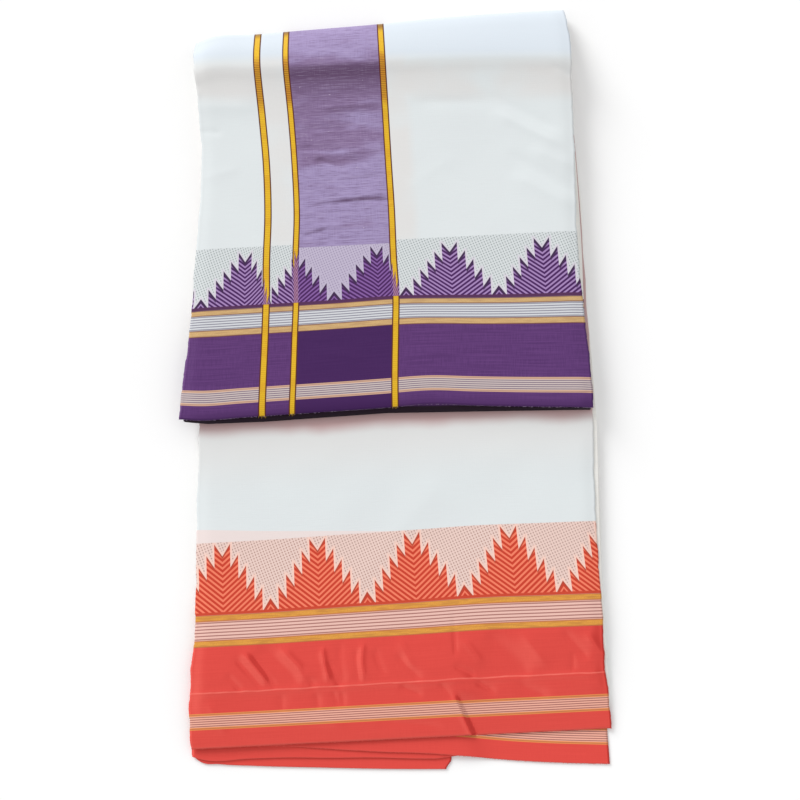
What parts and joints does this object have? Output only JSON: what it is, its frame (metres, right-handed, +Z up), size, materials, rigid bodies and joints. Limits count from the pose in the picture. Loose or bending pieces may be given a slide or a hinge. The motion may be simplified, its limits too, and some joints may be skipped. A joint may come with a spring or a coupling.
{
  "type": "dhoti cloth",
  "caption": "Cotton dhoti folded flat to a packet: the violet-bordered end lies as a flap over the back half, the orange-bordered end shows in front.",
  "frame": {"origin": "middle of the packet's underside, on the surface that it lies on", "axes": "+Y from the orange hem to the rolled top fold, +X to the right seen from above, +Z up"},
  "size_m": [0.4678, 0.8732, 0.0324],
  "materials": {
    "white_violet_cotton": "matt plain-weave cotton, white with a violet border and gold metallic weft stripes",
    "white_orange_cotton": "matt plain-weave cotton, white with an orange-red border",
    "orange_hem_cotton": "matt plain-weave cotton, orange-red border",
    "layered_cotton": "matt plain-weave cotton, folded edges"
  },
  "bodies": {
    "root": {"violet_end_cloth": "white_violet_cotton", "orange_end_cloth": "white_orange_cotton", "second_layer_hem": "orange_hem_cotton", "third_layer_hem": "orange_hem_cotton", "lowest_layer_hem": "orange_hem_cotton", "hidden_layers": "layered_cotton"}
  },
  "joints": []
}
